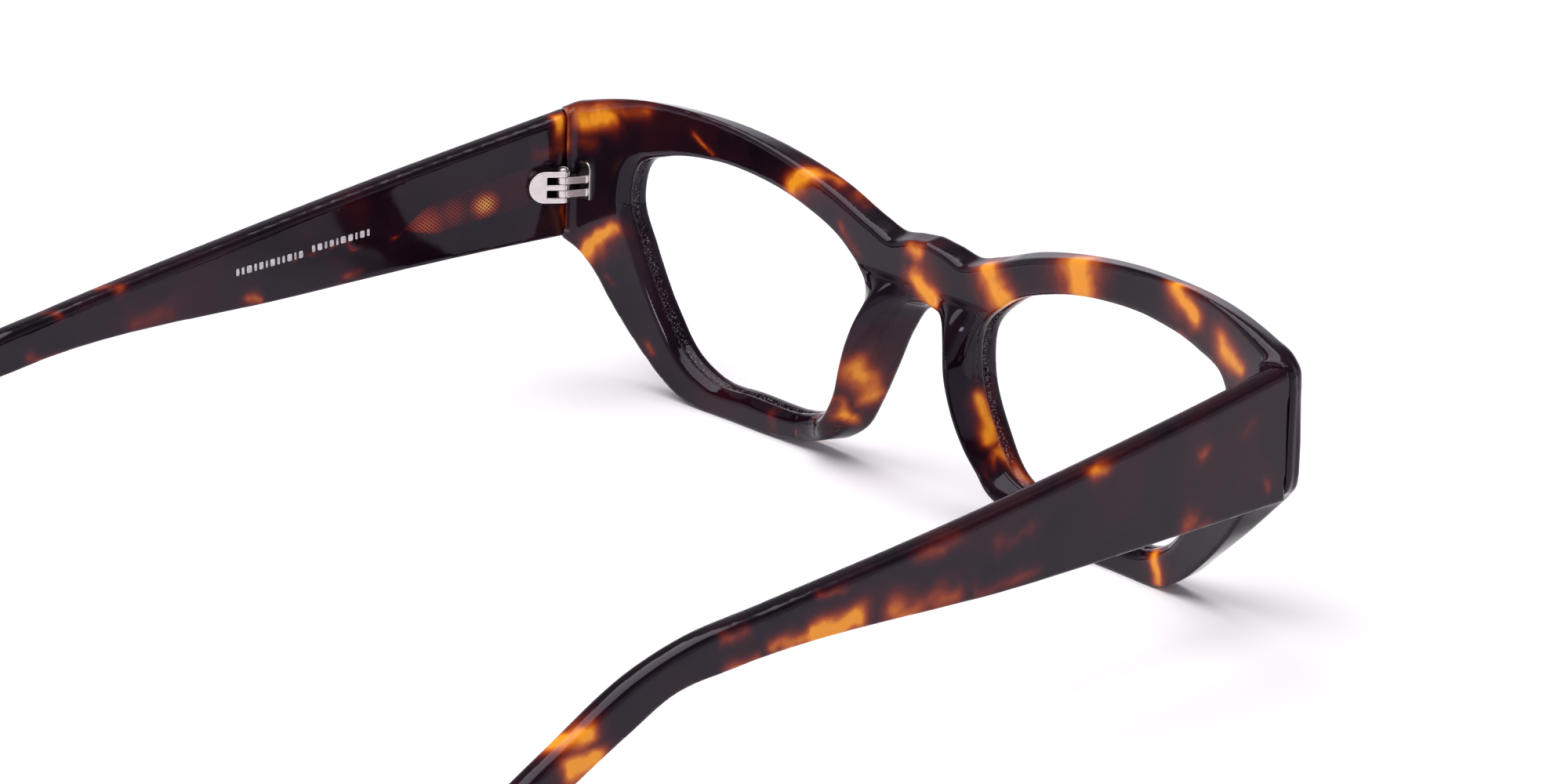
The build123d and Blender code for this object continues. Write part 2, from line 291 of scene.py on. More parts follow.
def quad_piece(name, points, quads):
    """A smooth-shaded object from points in metres and four-sided faces, facing outward."""
    mesh = bpy.data.meshes.new(name)
    mesh.vertices.add(len(points))
    mesh.vertices.foreach_set("co", points.astype(np.float32).ravel())
    mesh.loops.add(4 * len(quads))
    mesh.loops.foreach_set("vertex_index", quads.astype(np.int32).ravel())
    mesh.polygons.add(len(quads))
    mesh.polygons.foreach_set("loop_start", 4 * np.arange(len(quads), dtype=np.int32))
    mesh.polygons.foreach_set("use_smooth", np.ones(len(quads), bool))
    mesh.update(calc_edges=True)
    mesh.validate()
    if signed_volume(mesh) < 0:
        mesh.flip_normals()
    piece = bpy.data.objects.new(name, mesh)
    bpy.context.scene.collection.objects.link(piece)
    return piece


def skin(name, field, low, high, step, place, keep=None):
    """A piece with its surface where field is zero.

    place turns the field's coordinates into world millimetres, and keep picks the faces
    that stay, by their middles.
    """
    low, high = np.array(low, float), np.array(high, float)
    count = ((high - low) / step).astype(int) + 1
    axes = [low[k] + step * np.arange(count[k]) for k in range(3)]
    grid = vdb.FloatGrid(background=4 * step)
    grid.copyFromArray(field(*np.meshgrid(*axes, indexing="ij")).astype(np.float32))
    points, quads = grid.convertToQuads(isovalue=0.0)
    p = settle(low + points.astype(float) * step, field, step)
    if keep is not None:
        quads = quads[keep(*p[quads].mean(1).T)]
        used, quads = np.unique(quads, return_inverse=True)
        quads = quads.reshape(-1, 4)
        p = p[used]
    return quad_piece(name, np.stack(place(*p.T), axis=1) * MM, quads)


def signed_volume(mesh):
    """A number whose sign says whether the faces look outward."""
    co = np.empty(3 * len(mesh.vertices))
    mesh.vertices.foreach_get("co", co)
    co = co.reshape(-1, 3)
    corners = np.empty(len(mesh.loops), np.int32)
    mesh.loops.foreach_get("vertex_index", corners)
    a, b, c, d = co[corners.reshape(-1, 4)].transpose(1, 0, 2)
    return (np.cross(c - a, d - b) * (a + b + c + d)).sum()


def finish_piece(piece, node, body, material):
    piece.data.materials.append(material)
    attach(piece, body)
    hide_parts(node)


# ---- shapes: the front and its pads ------------------------------------------------
outline_back = Outline(half_loop(BROW_BACK, FOOT_BACK, NOSE_BACK))
outline_front = Outline(half_loop(BROW_FRONT, FOOT_FRONT, NOSE_FRONT))
lens_lip = Outline(smooth(LENS_LIP, closed=True))
pad_line = smooth(PAD_CREST)
seam_run = np.array(SEAM_OUTER) - SEAM_INNER
seam_normal = np.array((-seam_run[1], seam_run[0])) / np.hypot(*seam_run)


def behind_seam(x, y):
    """Distance behind the butt joint between front and temple."""
    return (x - SEAM_INNER[0]) * seam_normal[0] + (y - SEAM_INNER[1]) * seam_normal[1]


def depth_behind(x, y):
    """Distance behind the back face, which wraps back at the sides."""
    past = np.maximum(x - FRONT_FLAT, 0)
    return WRAP_R - np.hypot(past, WRAP_R - y)


def around_front(x, z, depth):
    """Distance outside the front's outer edge, which differs from front to back."""
    t = np.clip(-depth / FRONT_THICK, -1.3, 1)
    return blend_values(outline_back(x, z), outline_front(x, z), t)


def bare_front(x, y, z):
    x = np.abs(x)
    depth = depth_behind(x, y)
    around = around_front(x, z, depth)
    slab = np.abs(depth + FRONT_THICK / 2) - FRONT_THICK / 2
    crown = fade(z, *BROW_RISE)
    back_edge = EDGE_BACK + crown * (EDGE_BACK_BROW + EDGE_BACK_END * fade(x, *END_PIECE))
    front_edge = EDGE_FRONT + EDGE_FRONT_BROW * crown
    body = cut_round(around, slab, np.where(depth < -FRONT_THICK / 2, front_edge, back_edge))
    block = np.maximum(np.maximum(around, BLOCK_X - x), BLOCK_Y - y)
    block = cut_round(block, np.abs(z - BLOCK_MIDDLE) - BLOCK_HALF, BLOCK_ROUND)
    body = join_round(body, block, BLOCK_FILLET)
    body = np.where(x > SEAM_FROM, cut_round(body, behind_seam(x, y), SEAM_ROUND), body)
    body = cut_round(body, -y * sin(LEAN) - z * cos(LEAN), EDGE_FLOOR)
    return open_lens(body, x, z, depth)


def open_lens(body, x, z, depth):
    """The lens opening, bevelled behind, with a groove for the lens."""
    towards = (x - LENS_MIDDLE[0]) * 0.6 - (z - LENS_MIDDLE[1]) * 0.8
    low_outer = np.clip(0.5 + towards / CHAMFER_RUN, 0, 1)
    m, n = lens_lip(x, z) + LIP_IN * (1 - low_outer), -depth
    body = cut_round(body, -m, LIP_ROUND)
    chamfer = blend_values(LENS_CHAMFER_TOP, LENS_CHAMFER, low_outer)
    body = cut_round(body, (chamfer - m - n) * SLANT, CHAMFER_ROUND)
    groove = (GROOVE_DEPTH - m - np.abs(n - FRONT_THICK / 2)) * SLANT
    return cut_round(body, groove, GROOVE_ROUND)


def pad_solid(x, y, z):
    x = np.abs(x)
    depth = depth_behind(x, y)
    crest, height, lens_side = (np.interp(z, pad_line[:, 0], pad_line[:, k]) for k in (1, 2, 3))
    run, rise = lens_side - crest, np.maximum(height, PAD_RISE)
    lens_slope = ((x - lens_side) * rise + depth * run) / np.hypot(run, rise)
    foot = np.interp(z, *PAD_NOSE_FOOT)
    bridge_slope = ((foot - x) * rise + depth * (crest - foot)) / np.hypot(crest - foot, rise)
    nose_slope = cut_round(around_front(x, z, depth), bridge_slope, PAD_NOSE_ROUND)
    shape = cut_round(nose_slope, lens_slope, PAD_LENS_ROUND)
    shape = cut_round(shape, depth - height, PAD_CREST_ROUND)
    shape = np.maximum(shape, -PAD_SUNK - depth)
    shape = cut_round(shape, -PAD_LIP_GAP - lens_lip(x, z), PAD_LIP_ROUND)
    return np.maximum(shape, np.abs(z - PAD_MIDDLE) - PAD_HALF)


def with_pads(x, y, z):
    """The front and both pads in one, with fillets between them."""
    fillet = np.interp(z, *PAD_FILLET)
    both = join_round(bare_front(x, y, z), pad_solid(x, y, z), fillet)
    x = np.abs(x)
    both = cut_round(both, around_front(x, z, depth_behind(x, y)), EDGE_BACK)
    return cut_round(both, -FILLET_LIP_GAP - lens_lip(x, z), PAD_LIP_ROUND)


def pad_piece(x, y, z):
    """What the pad adds to the front, let a little way into it."""
    front, both = bare_front(x, y, z), with_pads(x, y, z)
    added = np.maximum(both - front + PAD_SKIN, both)
    return np.maximum(added, -PAD_OVERLAP - front)


# ---- shapes: the temple --------------------------------------------------------------
def circle_through(a, b, c):
    """Centre and radius of the circle through three plan points."""
    a, b, c = (np.array(p) for p in (a, b, c))
    rows = 2 * np.array([b - a, c - a])
    centre = np.linalg.solve(rows, [b @ b - a @ a, c @ c - a @ a])
    return centre, np.linalg.norm(a - centre)


bow_centre, bow_r = circle_through(*TEMPLE_BOW)
tip_angles = np.radians(np.linspace(90 - TIP_SLOPE, -90 - TIP_SLOPE, 24))
tip_arc = [
    (TIP_CENTRE[0] + TIP_R * cos(a), TIP_CENTRE[1] + TIP_R * sin(a)) for a in tip_angles
]
temple_side = Outline(np.vstack([
    smooth([
        (-4.0, 39.4), (8.0, 37.7), (33.0, 34.4), (58.0, 31.1), (92.0, 26.8), (103.8, 25.1),
        (111.0, 22.7), (125.0, 14.3), tip_arc[0],
    ]),
    tip_arc,
    smooth([
        tip_arc[-1], (125.0, 8.4), (113.5, 15.4), (106.5, 19.1), (98.0, 20.4), (50.0, 20.5),
        (25.0, 20.6), (-4.0, 20.4),
    ]),
]))
TEMPLE_MIDDLE = ((0, 60, 100, 125, 140), (29, 26, 23, 10.7, 2.5))   # y, and z half way up


def temple_field(x, y, z):
    band = np.abs(np.hypot(x - bow_centre[0], y - bow_centre[1]) - bow_r) - TEMPLE_THICK / 2
    lx, ly, _ = to_lean(x, y, z)
    middle = np.interp(y, *TEMPLE_MIDDLE)
    crown = np.clip((z - middle) / TEMPLE_CROWN, 0, 1)
    side = temple_side(y, z - TEMPLE_TOP_IN * crown)
    body = cut_round(band, side, TEMPLE_EDGE + TEMPLE_EDGE_TOP * crown)
    return cut_round(body, SEAM_GAP - behind_seam(lx, ly), TEMPLE_SEAM_ROUND)


def inner_face_x(y, inset=0.0):
    """Where the left temple's inner face is, across, at y."""
    r = bow_r - TEMPLE_THICK / 2 + inset
    return bow_centre[0] + np.sqrt(r ** 2 - (y - bow_centre[1]) ** 2)


# ---- shapes: the hinge ---------------------------------------------------------------
leaf_dir = np.array((sin(LEAF_YAW), cos(LEAF_YAW)))
leaf_side = np.array((leaf_dir[1], -leaf_dir[0]))
leaf_length = (LEAF_END_X - AXIS_X + BARREL_R * leaf_side[0]) / leaf_dir[0]


def leaf_axes(x, y):
    """Distance along the temple leaf from the hinge axis, and outward across it."""
    u, v = x - AXIS_X, y - AXIS_Y
    return u * leaf_dir[0] + v * leaf_dir[1], u * leaf_side[0] + v * leaf_side[1]


def box_field(x, y, z, low, high):
    half = (np.array(high) - low) / 2
    mid = (np.array(high) + low) / 2
    d = [np.abs(v - m) - h for v, m, h in zip((x, y, z), mid, half)]
    outside = np.sqrt(sum(np.maximum(v, 0) ** 2 for v in d))
    return outside + np.minimum(np.maximum.reduce(d), 0)


def leaf_field(x, y, z):
    along, across = leaf_axes(x, y)
    up = z - STACK_MIDDLE
    rear = leaf_length - STACK_HALF
    height = np.hypot(np.maximum(along - rear, 0), up) - STACK_HALF
    wedge = np.maximum(np.maximum(-BARREL_R - across, -along), x - LEAF_END_X - 0.5)
    barrel = np.hypot(x - AXIS_X, y - AXIS_Y) - BARREL_R
    leaf = cut_round(np.minimum(wedge, barrel), height, 0.14)
    for level in FINGER_LEVELS:
        opening = np.maximum(np.abs(z - level) - SLOT_HEIGHT / 2, along - SLOT_DEPTH)
        leaf = cut_round(leaf, -opening, 0.08)
    return leaf


def hinge_plate(x, y, z):
    """The plate on the front's back face, with its upper corners rounded."""
    low, high = zip(PLATE_X, PLATE_Y, [STACK_MIDDLE + v for v in PLATE_Z])
    plate = box_field(x, y, z, low, high)
    middle, flat = sum(PLATE_X) / 2, (PLATE_X[1] - PLATE_X[0]) / 2 - PLATE_CORNER_R
    up = z - STACK_MIDDLE - (PLATE_Z[1] - PLATE_CORNER_R)
    corner = np.hypot(np.maximum(np.abs(x - middle) - flat, 0), np.maximum(up, 0))
    return cut_round(plate, corner - PLATE_CORNER_R, 0.12)


def finger_field(x, y, z):
    plate = hinge_plate(x, y, z)
    lean_in = (y - AXIS_Y) / (WEB_FOOT_Y - AXIS_Y)
    across = np.abs(x - AXIS_X + WEB_LEAN * lean_in) * WEB_SLANT
    web = np.maximum(np.maximum(across - WEB_HALF, y - AXIS_Y), WEB_Y - y)
    bore = np.hypot(x - AXIS_X, y - AXIS_Y)
    plan = np.minimum(web, bore - BARREL_R)
    for level in FINGER_LEVELS:
        finger = cut_round(plan, np.abs(z - level) - FINGER_HEIGHT / 2, 0.1)
        plate = join_round(plate, finger, 0.15)
    return np.maximum(plate, SCREW_R + SCREW_RUN - bore)


def screw_field(x, y, z):
    radius = np.hypot(x - AXIS_X, y - AXIS_Y)
    up = z - STACK_MIDDLE
    shank = cut_round(radius - SCREW_R + 0.01, np.abs(up) - STACK_HALF, 0.08)
    dome = np.hypot(radius, up - STACK_HALF + DOME_DROP) - DOME_R
    head = cut_round(radius - SCREW_HEAD_R, np.maximum(STACK_HALF - 0.02 - up, dome), 0.1)
    across = np.abs((x - AXIS_X) * sin(DRIVER_ANGLE) - (y - AXIS_Y) * cos(DRIVER_ANGLE))
    slot = np.maximum(across - DRIVER_SLOT / 2, STACK_HALF + SCREW_HEAD_H - DRIVER_SLOT - up)
    return np.minimum(shank, cut_round(head, -slot, 0.05))


# ---- materials -------------------------------------------------------------------------
KNURL_PITCH = 0.00055                              # metres
KNURL_SLANT = 0.8
ACETATE_DARK = (0.003, 0.0015, 0.003)


class Nodes:
    """A short way to build one material's nodes."""

    def __init__(self, name):
        self.material = bpy.data.materials.new(name)
        self.material.use_nodes = True
        self.tree = self.material.node_tree
        self.shader = self.tree.nodes["Principled BSDF"]
        self.place = self.add("ShaderNodeTexCoord").outputs["Object"]

    def add(self, kind, inputs=None, **settings):
        node = self.tree.nodes.new(kind)
        for key, value in settings.items():
            setattr(node, key, value)
        for key, value in (inputs or {}).items():
            self.set(node.inputs[key], value)
        return node

    def set(self, socket, value):
        if isinstance(value, bpy.types.NodeSocket):
            self.tree.links.new(value, socket)
        else:
            socket.default_value = value

    def math(self, operation, a, b=0.0, c=0.0):
        node = self.add("ShaderNodeMath", {0: a, 1: b, 2: c}, operation=operation)
        return node.outputs[0]

    def noise(self, scale, detail=2.0, roughness=0.5, distortion=0.0, place=None):
        node = self.add("ShaderNodeTexNoise", {
            "Vector": place or self.place, "Scale": scale, "Detail": detail,
            "Roughness": roughness, "Distortion": distortion,
        })
        return node.outputs["Fac"]

    def ramp(self, factor, stops):
        node = self.add("ShaderNodeValToRGB", {"Fac": factor})
        elements = node.color_ramp.elements
        while len(elements) < len(stops):
            elements.new(0.5)
        for element, (position, colour) in zip(elements, stops):
            element.position = position
            element.color = (*colour, 1)
        return node.outputs["Color"]

    def mix(self, factor, a, b):
        node = self.add("ShaderNodeMix", data_type="RGBA")
        for index, value in ((0, factor), (6, a), (7, b)):
            self.set(node.inputs[index], value)
        return node.outputs[2]

    def knurl(self):
        """Two crossed sine waves, as over a knurled face that looks sideways."""
        axes = self.add("ShaderNodeSeparateXYZ", {"Vector": self.place}).outputs
        waves = []
        for way in (1.0, -1.0):
            slant = self.math("MULTIPLY", axes["Y"], KNURL_SLANT)
            run = self.math("MULTIPLY_ADD", axes["Z"], way, slant)
            turn = self.math("MULTIPLY", run, 2 * np.pi / KNURL_PITCH)
            waves.append(self.math("SINE", turn))
        return waves

    def bump(self, height, distance):
        node = self.add("ShaderNodeBump", {"Height": height, "Distance": distance, "Strength": 1.0})
        self.set(self.shader.inputs["Normal"], node.outputs["Normal"])


# amber patches in the dark acetate: start, end, radius, strength, in millimetres. x is
# across, y is behind the foot of the back face and z is above the floor
AMBER = (
    ((73.0, 3.8, 39.0), (72.9, 3.9, 34.4), 0.9, 1.0),
    ((71.2, 1.9, 38.4), (66.3, 1.0, 39.3), 1.3, 0.9),
    ((71.4, 2.1, 35.8), (69.2, 1.7, 35.2), 1.1, 0.45),
    ((66.0, 0.9, 40.6), (58.6, -0.3, 41.9), 1.0, 0.5),
    ((49.8, -1.2, 40.4), (45.1, -1.4, 38.3), 0.4, 0.6),
    ((27.8, -1.5, 37.8), (24.1, -1.6, 40.0), 1.4, 0.9),
    ((24.7, -2.1, 40.2), (21.0, -3.5, 40.0), 0.9, 0.7),
    ((18.0, -4.7, 38.1), (14.9, -5.2, 37.1), 0.9, 0.5),
    ((17.4, -1.4, 35.0), (14.6, -1.3, 32.3), 0.7, 0.5),
    ((3.4, -1.4, 35.3), (1.1, -1.4, 34.5), 1.0, 0.8),
    ((0.9, -1.2, 31.0), (-1.5, -1.2, 29.1), 1.8, 1.0),
    ((-12.6, -1.4, 36.1), (-16.7, -1.3, 32.1), 2.1, 1.0),
    ((69.8, 2.5, 18.1), (64.3, 1.3, 23.3), 1.1, 1.0),
    ((66.4, 1.9, 16.2), (64.9, 1.7, 14.6), 0.5, 0.4),
    ((57.7, 0.9, 7.9), (56.6, 0.8, 6.5), 0.6, 0.5),
    ((31.9, -0.1, 2.8), (31.0, 0.0, 0.8), 0.9, 0.35),
    ((11.0, 1.8, 16.5), (11.9, -2.2, 11.4), 1.7, 0.8),
    ((14.2, 3.0, 10.6), (15.0, -0.9, 7.4), 1.0, 0.8),
    ((10.3, -3.1, 13.9), (9.6, -4.3, 14.5), 0.7, 0.4),
    ((-31.9, -1.6, 40.9), (-31.8, -1.5, 37.0), 2.7, 1.0),
    ((-51.2, -1.1, 42.0), (-55.8, -0.6, 40.0), 1.4, 0.95),
    ((-52.7, -0.8, 36.9), (-54.6, -0.6, 36.0), 0.6, 0.6),
    ((-62.4, 0.4, 38.0), (-66.3, 1.1, 35.9), 1.5, 1.0),
    ((-49.1, 0.2, 4.5), (-50.0, 0.4, 1.2), 1.1, 0.85),
    ((-78.0, 18.6, 21.0), (-77.9, 16.4, 20.8), 0.7, 0.4),
    ((-12.8, -0.6, 15.7), (-15.0, -0.5, 12.0), 1.2, 0.85),
    ((-16.3, -1.2, 9.9), (-19.2, -3.0, 6.6), 1.0, 0.7),
    ((75.5, 59.1, 21.7), (75.5, 56.4, 21.7), 0.7, 0.75),
    ((75.3, 41.3, 22.0), (75.2, 39.3, 22.1), 0.7, 0.5),
    ((77.5, 83.3, 27.7), (76.0, 80.9, 28.0), 0.6, 0.6),
    ((76.5, 92.7, 26.5), (75.1, 90.9, 26.7), 0.6, 0.5),
    ((74.6, 97.1, 21.8), (74.9, 91.6, 21.4), 0.6, 0.6),
    ((75.3, 77.9, 22.8), (75.4, 72.5, 22.7), 1.1, 0.3),
    ((73.6, 8.5, 33.7), (73.3, 4.6, 33.7), 0.9, 0.35),
    ((73.3, 3.9, 24.5), (73.3, 4.0, 21.5), 0.3, 0.5),
    # the core wire showing through the inner face as a thin streak, lightened by a painted glint
    # along it
    ((75.5, 54.5, 26.0), (75.0, 32.5, 26.5), 0.14, 0.55),
    ((-78.9, 37.8, 33.4), (-78.8, 35.6, 33.6), 0.9, 0.75),
    ((-78.0, 18.3, 30.6), (-77.9, 17.8, 30.9), 0.9, 0.45),
    ((-77.2, 5.5, 24.0), (-77.2, 5.4, 23.3), 0.6, 0.45),
    ((-77.6, 9.5, 32.0), (-77.6, 9.0, 33.0), 0.7, 0.35),
    ((-78.2, 21.2, 21.3), (-78.0, 18.9, 22.6), 1.0, 0.5),
    ((-79.1, 72.0, 22.6), (-79.2, 62.0, 22.0), 1.4, 0.6),
    ((-79.2, 58.0, 22.2), (-79.2, 49.0, 22.0), 1.0, 0.45),
    ((-79.2, 54.0, 27.0), (-79.2, 49.0, 27.6), 0.8, 0.35),
    ((-78.8, 84.8, 22.5), (-79.0, 78.3, 22.5), 1.2, 1.0),
    ((-78.6, 91.7, 21.8), (-78.8, 85.5, 22.0), 1.0, 0.8),
    ((-78.2, 99.0, 21.4), (-78.4, 94.7, 21.4), 0.7, 0.6),
    ((-78.8, 84.2, 27.5), (-79.0, 80.1, 27.5), 0.6, 0.5),
    ((-79.2, 67.6, 29.0), (-79.2, 63.7, 29.2), 1.3, 0.5),
    ((-78.2, 99.0, 24.8), (-78.4, 95.3, 25.0), 0.6, 0.5),
    ((-73.4, 123.3, 15.1), (-76.7, 119.7, 17.3), 1.5, 0.95),
    ((-76.5, 122.4, 12.4), (-76.9, 118.7, 13.3), 1.5, 1.0),
)
SEEN_FROM = Vector((-0.7247, 0.6083, 0.3239))      # towards the side that is known
# where the core's blade catches the light, as a painted highlight: y, z, radius, strength, and its
# side view
BLADE_LIGHT = ((17.4, 27.7, 1.6, 1.0), (27.5, 26.6, 2.6, 0.5), (23.0, 27.5, 2.4, 0.3))
BLADE = Outline(np.array([(9.4, 32.0), (27.0, 29.6), (32.2, 26.6), (25.6, 24.9), (9.4, 26.2)]))


def wobble(p, size, amount, seed):
    """Points moved about by smooth waves, so that patches get uneven edges."""
    rng = np.random.default_rng(seed)
    moved = p.copy()
    for _ in range(6):
        way = rng.normal(size=3)
        way *= 2 * np.pi / (size * rng.uniform(0.6, 1.6) * np.linalg.norm(way))
        moved += amount * rng.normal(size=3) * np.sin(p @ way + rng.uniform(0, 6.28))[:, None]
    return moved


def paint_amber(piece):
    """Per point: how much amber shows, how unseen its side is, and the core blade showing through,
    with its painted highlight.
    """
    mesh = piece.data
    co = np.empty(3 * len(mesh.vertices))
    mesh.vertices.foreach_get("co", co)
    co = co.reshape(-1, 3) / MM - (0, BACK_Y, 0)
    normal = np.empty(3 * len(mesh.vertices))
    mesh.vertices.foreach_get("normal", normal)
    facing = normal.reshape(-1, 3) @ np.array(SEEN_FROM)
    p = wobble(wobble(co, 6.0, 0.24, 7), 2.4, 0.04, 3)
    amber = np.zeros(len(p))
    for a, b, radius, strength in AMBER:
        a, b = np.array(a), np.array(b)
        k = np.clip((p - a) @ (b - a) / ((b - a) @ (b - a)), 0, 1)
        gap = np.linalg.norm(p - a - k[:, None] * (b - a), axis=1) / radius
        amber = np.maximum(amber, strength * np.exp(-0.6 * np.maximum(gap - 0.2, 0) ** 1.5))
    across = np.abs(co[:, 0])
    inner = (across > 72.5) & (across < 76.3) & (co[:, 1] > 8.5)
    blade_glint = np.clip(0.5 - BLADE(co[:, 1], co[:, 2]) / 0.5, 0, 1) * inner
    # painted highlight on the blade: faint all over, bright where it catches the light
    lit = np.full(len(co), 0.12)
    for y, z, radius, strength in BLADE_LIGHT:
        near = np.hypot((co[:, 1] - y) / 1.3, co[:, 2] - z) / radius
        lit = np.maximum(lit, strength * np.exp(-near ** 2))
    lx, ly, lz = to_lean(*co.T)
    m, n = lens_lip(across, lz), -depth_behind(across, ly)
    groove = np.clip(1.6 - np.hypot(m / 0.6, (n - FRONT_THICK / 2) / 0.55), 0, 1)
    for name, values in (
        ("amber", amber), ("unseen", np.clip(-facing * 4 + 0.1, 0, 1)),
        ("blade_glint", blade_glint * lit), ("groove", groove),
    ):
        attribute = mesh.attributes.new(name, "FLOAT", "POINT")
        attribute.data.foreach_set("value", values.astype(np.float32))


def amber_clouds(n, amber, unseen):
    """Colour of the tortoiseshell: known patches, noise on unseen sides, and a haze."""
    cloud = n.noise(75.0, 3.0, 0.55, 0.6)
    patches = n.add("ShaderNodeMapRange", {"Value": cloud, "From Min": 0.55, "From Max": 0.68})
    patches = n.math("MULTIPLY", patches.outputs[0], unseen)
    fleck = n.noise(420.0, 3.0, 0.5, 0.5)
    spread = n.math("MULTIPLY", n.math("SUBTRACT", fleck, 0.5), 0.5)
    known = n.math("MULTIPLY", amber, n.math("ADD", spread, 1.0))
    both = n.math("MAXIMUM", known, n.math("MULTIPLY", patches, 0.85))
    haze = n.add("ShaderNodeMapRange", {
        "Value": n.noise(55.0, 3.0, 0.6, 0.8), "From Min": 0.36, "From Max": 0.62, "To Max": 0.2,
    })
    return n.ramp(n.math("ADD", both, haze.outputs[0]), (
        (0.0, ACETATE_DARK), (0.14, (0.009, 0.0025, 0.0055)), (0.3, (0.032, 0.004, 0.006)),
        (0.46, (0.09, 0.009, 0.005)), (0.64, (0.24, 0.033, 0.006)), (0.82, (0.5, 0.115, 0.008)),
        (1.0, (0.8, 0.29, 0.016)),
    ))


def blade_knurl_and_glint(n, blade_glint, colour):
    """The core's knurled blade, showing through the inner face as a fine crossed pattern,
    brightened by a painted highlight where it catches the light.
    """
    lines = [n.math("POWER", n.math("MULTIPLY_ADD", wave, 0.5, 0.5), 2.5) for wave in n.knurl()]
    cross = n.math("MAXIMUM", *lines)
    glow = n.math("MULTIPLY", n.math("MULTIPLY_ADD", cross, 0.9, 0.1), blade_glint)
    lit = n.ramp(glow, (
        (0.0, ACETATE_DARK), (0.12, (0.05, 0.004, 0.006)), (0.4, (0.34, 0.04, 0.012)),
        (1.0, (0.95, 0.5, 0.08)),
    ))
    return n.mix(n.math("MINIMUM", n.math("MULTIPLY", blade_glint, 6.0), 1.0), colour, lit)


def groove_chips_and_glints(n, groove, colour):
    """The lens groove is cut rough: pale chips in it, which also stand for its sparkle as painted
    glints.
    """
    chip_glints = n.math("GREATER_THAN", n.noise(3200.0, 2.0, 0.6), 0.58)
    chip_glints = n.math("MULTIPLY", n.math("MULTIPLY", chip_glints, groove), n.noise(130.0))
    return n.mix(n.math("MULTIPLY", chip_glints, 0.35), colour, (0.75, 0.7, 0.74, 1))


def acetate(name):
    """Polished tortoiseshell: near black brown with amber clouds."""
    n = Nodes(name)
    amber, unseen, blade_glint, groove = (
        n.add("ShaderNodeAttribute", attribute_name=key).outputs["Fac"]
        for key in ("amber", "unseen", "blade_glint", "groove")
    )
    colour = amber_clouds(n, amber, unseen)
    # the blade showing through, with its painted highlight
    colour = blade_knurl_and_glint(n, blade_glint, colour)
    # pale rough chips in the lens groove, partly painted glints
    n.set(n.shader.inputs["Base Color"], groove_chips_and_glints(n, groove, colour))
    streak = n.noise(900.0, 3.0, 0.65)
    n.set(n.shader.inputs["Roughness"], n.math("MULTIPLY_ADD", streak, 0.06, 0.03))
    n.shader.inputs["IOR"].default_value = 1.49
    n.shader.inputs["Specular IOR Level"].default_value = 0.3
    n.shader.inputs["Specular Tint"].default_value = (0.88, 0.8, 1.0, 1)
    swell = n.math("MULTIPLY_ADD", n.noise(3000.0, 2.0), 0.012, n.noise(120.0, 1.0))
    n.bump(swell, 0.00006)
    return n.material


def polished_metal(name, colour, rough):
    """Polished metal with fine brush marks and faint stains."""
    n = Nodes(name)
    stain = n.noise(900.0, 4.0, 0.6)
    dark = tuple(0.9 * c for c in colour)
    n.set(n.shader.inputs["Base Color"], n.ramp(stain, ((0.3, dark), (0.62, colour))))
    stretched = n.add("ShaderNodeMapping", {"Vector": n.place, "Scale": (1.0, 1.0, 9.0)})
    brushed = n.noise(2600.0, 3.0, 0.6, place=stretched.outputs[0])
    n.set(n.shader.inputs["Roughness"], n.math("MULTIPLY_ADD", brushed, 0.2, rough))
    n.shader.inputs["Metallic"].default_value = 1.0
    n.bump(brushed, 0.000012)
    return n.material


def knurled_wire(name):
    """Core wire with a crossed knurl pressed into it."""
    n = Nodes(name)
    knurl = n.math("MULTIPLY", *n.knurl())
    stain = n.noise(700.0, 3.0)
    steel = n.ramp(stain, ((0.3, (0.5, 0.46, 0.44)), (0.7, (0.75, 0.72, 0.7))))
    n.set(n.shader.inputs["Base Color"], steel)
    n.set(n.shader.inputs["Roughness"], n.math("MULTIPLY_ADD", stain, 0.2, 0.2))
    n.shader.inputs["Metallic"].default_value = 1.0
    n.bump(knurl, 0.00012)
    return n.material


def printed_bar_paint(name):
    n = Nodes(name)
    worn = n.noise(1400.0, 4.0, 0.6)
    grey = n.ramp(worn, ((0.35, (0.36, 0.34, 0.35)), (0.6, (0.62, 0.6, 0.62))))
    n.set(n.shader.inputs["Base Color"], grey)
    n.set(n.shader.inputs["Roughness"], n.math("MULTIPLY_ADD", worn, 0.2, 0.4))
    n.bump(worn, 0.00001)
    return n.material


# ---- pieces ------------------------------------------------------------------------------
front_acetate = acetate("front acetate")
temple_acetate = acetate("temple acetate")
pad_acetate = acetate("pad acetate")
nickel = polished_metal("hinge nickel", (0.66, 0.61, 0.61), 0.08)
screw_steel = polished_metal("screw steel", (0.42, 0.4, 0.41), 0.16)
core_steel = knurled_wire("core steel")
print_paint = printed_bar_paint("worn pale print")

front = skin(
    "front_shell", bare_front, (-79, -1.4 - FRONT_THICK, -1.2), (79, 8.6, 45), 0.36, to_world,
    keep=lambda x, y, z: np.abs(depth_behind(np.abs(x), y) + 2) < 9,
)
finish_piece(front, "front_frame", "front", front_acetate)
paint_amber(front)


def mirrored(field, way):
    """A left-hand shape as it is, or turned over for the right side when way is -1."""
    return lambda x, y, z: field(way * x, y, z)


def side_box(low, high, way):
    """Corners of a left-hand box, or of its mirror image when way is -1."""
    near, far = sorted((way * low[0], way * high[0]))
    return (near, *low[1:]), (far, *high[1:])


